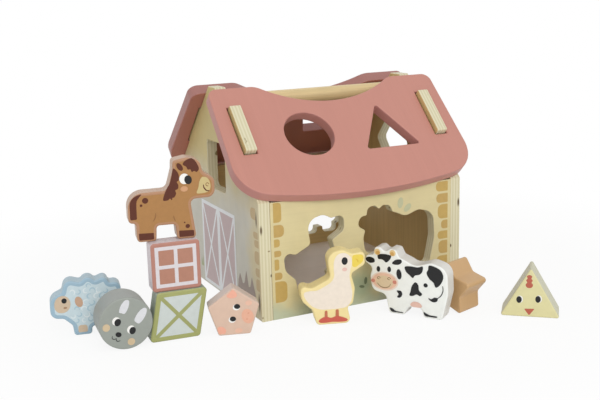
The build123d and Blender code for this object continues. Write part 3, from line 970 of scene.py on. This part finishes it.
class SORTER_OT_sheep(BlockOperator, bpy.types.Operator):
    """Pale blue sheep with curled wool and a peach face"""

    bl_idname = "sorter.sheep"
    bl_label = "Sheep"
    shift = (-0.27, 0)

    # Rows and columns of curls, the steps between them, how far each may stray and the room that it needs
    rows, columns = 8, 12
    step_across, step_up, stray, room = 5.2, 4.6, 0.6, 2.6

    def curls(self, wool, keep_clear):
        """Two lists of curls, set out by chance where they lie inside the wool and clear of face and legs."""
        chance = random.Random(4)
        light, dark = [], []
        for row in range(self.rows):
            for column in range(self.columns):
                x = -28 + column * self.step_across + (row % 2) * self.step_across / 2
                x += chance.uniform(-self.stray, self.stray)
                y = 7.5 + row * self.step_up + chance.uniform(-self.stray, self.stray)
                radius = chance.uniform(2.1, 2.8)
                turn = chance.uniform(0, 360)
                around = ((x + self.room, y), (x - self.room, y), (x, y + self.room), (x, y - self.room))
                if any(holds(clear, (x, y)) for clear in keep_clear):
                    continue
                if not all(holds(wool, point) for point in around):
                    continue
                curl = []
                for step in range(14):
                    angle = math.radians(turn + step * 18)
                    reach = radius * (1 - step / 26)
                    curl.append((x + reach * math.cos(angle), y + reach * math.sin(angle)))
                (light if (row + column) % 2 else dark).append(stroke(curl, 1.1, 0.3))
        return light, dark

    def draw_art(self, art, sizes):
        wool = inset(art.face.outline, 1.9)
        art.patch("wool", wool)
        face = smooth([
            (-26, 25), (-24.6, 30.6), (-20.4, 33.2), (-16, 32),
            (-13.8, 27.4), (-15, 22.4), (-19, 19.6), (-24, 20.6),
        ])
        ear = ellipse(-7.4, 27.2, 2.9, 4.4, 14)
        keep_clear = [
            ellipse(-20, 26, 8.2, 8.8), ellipse(-7.4, 27.2, 4.6, 6, 14),
            [(-30, 0), (40, 0), (40, 9), (-30, 9)],
        ]
        light, dark = self.curls(wool, keep_clear)
        art.patch("wool_light", *light)
        art.patch("wool_dark", *dark)
        art.patch("sheep_face", face)
        art.patch("sheep_ear", ear)
        art.patch(
            "sheep_face",
            rounded([(-9.4, 2.4), (-2.2, 2.4), (-2.4, 8.2), (-9.2, 8.2)], [1.2, 1.2, 2.2, 2.2]),
            rounded([(13, 2.4), (20.4, 2.4), (20.2, 8), (13.2, 8)], [1.2, 1.2, 2.2, 2.2]),
        )
        art.patch("black", ellipse(-18.4, 29.2, 2, 2.1))
        art.patch("sheep_mouth", ellipse(-17.9, 23.5, 1.4, 0.8))


class SORTER_OT_rabbit(BlockOperator, bpy.types.Operator):
    """Grey rabbit face on the round block, lying a little on its side"""

    bl_idname = "sorter.rabbit"
    bl_label = "Rabbit"

    def draw_art(self, art, sizes):
        art.blots(
            "rabbit_pale",
            [(-4.6, 29.9), (-3.6, 33.8), (-1, 37.4), (1.2, 38.5), (3.2, 37.6), (3, 34.4), (1.6, 31),
             (-0.6, 28.2), (-3, 28.9)],
            [(6.3, 22.2), (8.2, 26), (11.2, 29.2), (14.2, 30.6), (16, 29.2), (15.2, 25.4), (12.6, 21.4),
             (9.6, 19), (7.4, 20.2)],
        )
        art.spots("white", 2.9, 3.2, -20, (-7.3, 23.2), (3.3, 15.2))
        art.spots("black", 2.4, 2.9, -20, (-6.2, 22.1), (4.4, 14.2))
        art.patch("black", ellipse(-6.2, 12.6, 2.3, 1.9, -30))
        art.patch(
            "black",
            drawn([(-10.8, 12.3), (-11, 10.4), (-9.6, 9.5), (-8, 9.9)], 0.6, 0.6),
            drawn([(-8, 10.2), (-8.1, 8.4), (-6.8, 7.5), (-5.1, 7.9)], 0.6, 0.6),
        )
        art.patch("rabbit_cheek", ellipse(-14.8, 19.2, 2.8, 2.9), ellipse(3, 5.7, 2.8, 2.8))


class SORTER_OT_window(BlockOperator, bpy.types.Operator):
    """Terracotta window with a pale frame and four panes"""

    bl_idname = "sorter.window"
    bl_label = "Window"

    def draw_art(self, art, sizes):
        low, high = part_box("window_block")
        half = max(abs(x) for x, _ in art.face.outline) + (sizes.block_edge - sizes.window_border) / MM
        middle = (high.z - low.z) / 2 / MM
        bar = sizes.window_bar / MM
        corners = ((-1, -1), (1, -1), (1, 1), (-1, 1))
        art.patch("frame", rounded([(half * a, middle + half * b) for a, b in corners], [0.5] * 4))
        pane = half - bar
        art.patch("pane", *[
            rounded(
                [(a * bar / 2, middle + b * bar / 2), (a * pane, middle + b * bar / 2),
                 (a * pane, middle + b * pane), (a * bar / 2, middle + b * pane)],
                [0.4] * 4,
            )
            for a in (-1, 1)
            for b in (-1, 1)
        ])


class SORTER_OT_barn_door(BlockOperator, bpy.types.Operator):
    """Barn door with an olive border and crossed braces on a pale ground"""

    bl_idname = "sorter.barn_door"
    bl_label = "Barn door"

    def draw_art(self, art, sizes):
        brace = sizes.door_brace / MM
        ground = inset(art.face.outline, (sizes.door_border - sizes.block_edge) / MM)
        art.patch("door_ground", ground)
        low_left = min(ground, key=lambda p: p[0] + p[1])
        high_right = max(ground, key=lambda p: p[0] + p[1])
        low_right = max(ground, key=lambda p: p[0] - p[1])
        high_left = min(ground, key=lambda p: p[0] - p[1])
        art.patch("door_olive", stroke([low_left, high_right], brace))
        art.patch("door_olive", stroke([low_right, high_left], brace))


class SORTER_OT_pig(BlockOperator, bpy.types.Operator):
    """Pale peach pig face on the pentagon, lying on its side"""

    bl_idname = "sorter.pig"
    bl_label = "Pig"

    def draw_art(self, art, sizes):
        art.patch("pig_faint", ellipse(11.6, 25, 2.6, 2.1), ellipse(3.2, 3.4, 3, 1.9))
        art.blots(
            "pig_coral",
            [(-0.4, 36.4), (2.2, 34), (2.6, 31.2), (0, 29.8), (-3.6, 30.2), (-5.2, 32), (-3, 34.4)],
            [(-13.2, 6.8), (-9.6, 7.4), (-6.8, 4.8), (-7.4, 1.9), (-10, 1.7), (-12.3, 2)],
        )
        art.patch("pig_snout", ellipse(10.4, 14.4, 4.6, 6, 16))
        art.spots("pig_nostril", 0.8, 0.65, 16, (9.7, 12.1), (11.1, 16.8))
        art.spots("white", 2.8, 2.5, 0, (1.9, 22.3), (-1.7, 12.5))
        art.spots("black", 2.4, 2, -10, (2.5, 22.9), (-1.1, 13.1))


class SORTER_OT_star(BlockOperator, bpy.types.Operator):
    """Plain tan star, without a print"""

    bl_idname = "sorter.star"
    bl_label = "Star"

    def execute(self, context):
        tan = context.scene.sorter_block.star
        outward = tuple(BlockFace("star_block").outward)
        dress("star_block", painted_wood("star_satin_tan_paint", tan, tan, tan, outward, (0, 0, 1)))
        return {"FINISHED"}


class SORTER_OT_chick(BlockOperator, bpy.types.Operator):
    """Pale yellow chick face on the triangle, with a red comb and beak"""

    bl_idname = "sorter.chick"
    bl_label = "Chick"

    def draw_art(self, art, sizes):
        art.blots("comb_red", [
            (-1, 34.9), (1, 33.8), (0.5, 31.9), (1.5, 30.4), (0.7, 28.5), (1.8, 26.9), (1, 24.7),
            (-1, 24.1), (-3, 24.7), (-3.8, 26.9), (-2.7, 28.5), (-3.5, 30.4), (-2.5, 31.9), (-3, 33.8),
        ])
        art.spots("white", 2.4, 3, 0, (-8, 14.5), (6.6, 15.5))
        art.spots("black", 2.1, 2.8, 0, (-8.6, 14.2), (6, 15.2))
        art.patch("comb_red", rounded([(-4.6, 6.8), (-0.6, 1.5), (3.6, 7.2)], [1.1, 0.9, 1.1]))


class SORTER_OT_stage(bpy.types.Operator):
    """Pale floor, soft studio light and the camera"""

    bl_idname = "sorter.stage"
    bl_label = "Stage"
    # Places in metres. The camera's yaw, pitch and roll, in degrees, are those of the photograph.
    floor_drop = 0.0002
    # How much of the floor is plain white near the house, and the millimetres over which this grows to all
    floor_white, floor_fade = 0.88, (220, 460)
    lamp_place, lamp_size, lamp_target = (-0.35, -1.7, 1.1), 1.2, (0, 0, 0.08)
    camera_place, camera_turn = (-0.3836, -0.7587, 0.2646), (25.93, -12.80, -1.46)

    def execute(self, context):
        stage = context.scene.sorter_stage
        mesh = bpy.data.meshes.new("studio_floor")
        half, drop = stage.floor, self.floor_drop
        corners = [(-half, -half, -drop), (half, -half, -drop), (half, half, -drop), (-half, half, -drop)]
        mesh.from_pydata(corners, [], [(0, 1, 2, 3)])
        mesh.materials.append(self.floor_material())
        self.add(context, "studio_floor", mesh)
        self.add_world(context, stage.fill)
        self.add_lamp(context, stage.key)
        self.add_camera(context, stage.lens)
        return {"FINISHED"}

    def add(self, context, name, data):
        """An object in the scene, with the mesh, lamp or camera given."""
        thing = bpy.data.objects.new(name, data)
        context.scene.collection.objects.link(thing)
        return thing

    def floor_material(self):
        """Matt white paper, which keeps a soft shadow near the object and looks plain white away from it."""
        material, tree, place, _ = new_material("matt_white_paper")
        plain = ramp(tree, vectors(tree, "LENGTH", place), *self.floor_fade, self.floor_white, smooth=True)
        white = maths(tree, "MULTIPLY", plain, seen_plainly(tree))
        paper = add_node(tree, "ShaderNodeBsdfDiffuse", {"Color": (*linear("F4F4F2"), 1)})
        glow = add_node(tree, "ShaderNodeEmission", {"Color": (1, 1, 1, 1), "Strength": 1.0})
        mixed = add_node(tree, "ShaderNodeMixShader", {0: white, 1: paper.outputs[0], 2: glow.outputs[0]})
        add_node(tree, "ShaderNodeOutputMaterial", {"Surface": mixed.outputs[0]})
        return material

    def add_world(self, context, fill):
        """Even light from all round, which the camera, gloss and glass see as plain white."""
        world = bpy.data.worlds.new("studio_light")
        world.use_nodes = True
        tree = world.node_tree
        tree.nodes.clear()
        strength = ramp(tree, seen_plainly(tree), start=fill, end=1.0)
        sky = add_node(tree, "ShaderNodeBackground", {"Color": (1, 1, 1, 1), "Strength": strength})
        add_node(tree, "ShaderNodeOutputWorld", {"Surface": sky.outputs[0]})
        context.scene.world = world

    def add_lamp(self, context, power):
        """A square soft box, turned towards the house."""
        lamp = bpy.data.lights.new("key_softbox", "AREA")
        lamp.shape, lamp.size, lamp.energy = "SQUARE", self.lamp_size, power
        holder = self.add(context, "key_softbox", lamp)
        holder.location = self.lamp_place
        sight = Vector(self.lamp_target) - Vector(self.lamp_place)
        holder.rotation_euler = sight.to_track_quat("-Z", "Y").to_euler()

    def add_camera(self, context, lens):
        """The camera in front and to the left, a little above the roof, tilted by a degree and a half."""
        yaw, pitch, roll = (math.radians(angle) for angle in self.camera_turn)
        aim = Matrix.Rotation(-yaw, 4, "Z") @ Matrix.Rotation(math.pi / 2 + pitch, 4, "X")
        data = bpy.data.cameras.new("camera")
        data.sensor_width, data.lens = 36.0, lens
        camera = self.add(context, "camera", data)
        camera.matrix_world = Matrix.Translation(self.camera_place) @ aim @ Matrix.Rotation(roll, 4, "Z")
        context.scene.camera = camera
        context.scene.view_settings.view_transform = "Standard"


PIECE_OPERATORS = (
    SORTER_OT_walls,
    SORTER_OT_gables,
    SORTER_OT_roof,
    SORTER_OT_dowels,
    SORTER_OT_wall_prints,
    SORTER_OT_gable_prints,
    SORTER_OT_duck,
    SORTER_OT_cow,
    SORTER_OT_horse,
    SORTER_OT_sheep,
    SORTER_OT_rabbit,
    SORTER_OT_window,
    SORTER_OT_barn_door,
    SORTER_OT_pig,
    SORTER_OT_star,
    SORTER_OT_chick,
    SORTER_OT_stage,
)


SETTINGS = {
    "sorter_house": SorterHousePaint,
    "sorter_block": SorterBlockPaint,
    "sorter_print": SorterPrintSizes,
    "sorter_stage": SorterStage,
}


class SORTER_PT_pieces(bpy.types.Panel):
    """Lists the pieces of the shape sorter in the order that they are made"""

    bl_idname = "SORTER_PT_pieces"
    bl_label = "Shape sorter"
    bl_space_type = "VIEW_3D"
    bl_region_type = "UI"
    bl_category = "Shape sorter"

    def draw(self, context):
        for operator in PIECE_OPERATORS:
            self.layout.operator(operator.bl_idname)
        for name in SETTINGS:
            settings = getattr(context.scene, name)
            box = self.layout.box()
            for setting in settings.__annotations__:
                box.prop(settings, setting)


def register():
    """Makes the settings, the operators and the panel known to Blender."""
    for name, group in SETTINGS.items():
        bpy.utils.register_class(group)
        setattr(bpy.types.Scene, name, PointerProperty(type=group))
    for operator in PIECE_OPERATORS:
        bpy.utils.register_class(operator)
    bpy.utils.register_class(SORTER_PT_pieces)


def unregister():
    """Takes them away again, in the opposite order."""
    bpy.utils.unregister_class(SORTER_PT_pieces)
    for operator in reversed(PIECE_OPERATORS):
        bpy.utils.unregister_class(operator)
    for name, group in reversed(SETTINGS.items()):
        delattr(bpy.types.Scene, name)
        bpy.utils.unregister_class(group)


def main():
    """Makes every piece in its order."""
    register()
    for operator in PIECE_OPERATORS:
        group, name = operator.bl_idname.split(".")
        getattr(getattr(bpy.ops, group), name)()
    bpy.context.view_layer.update()


if __name__ == "__main__":
    main()
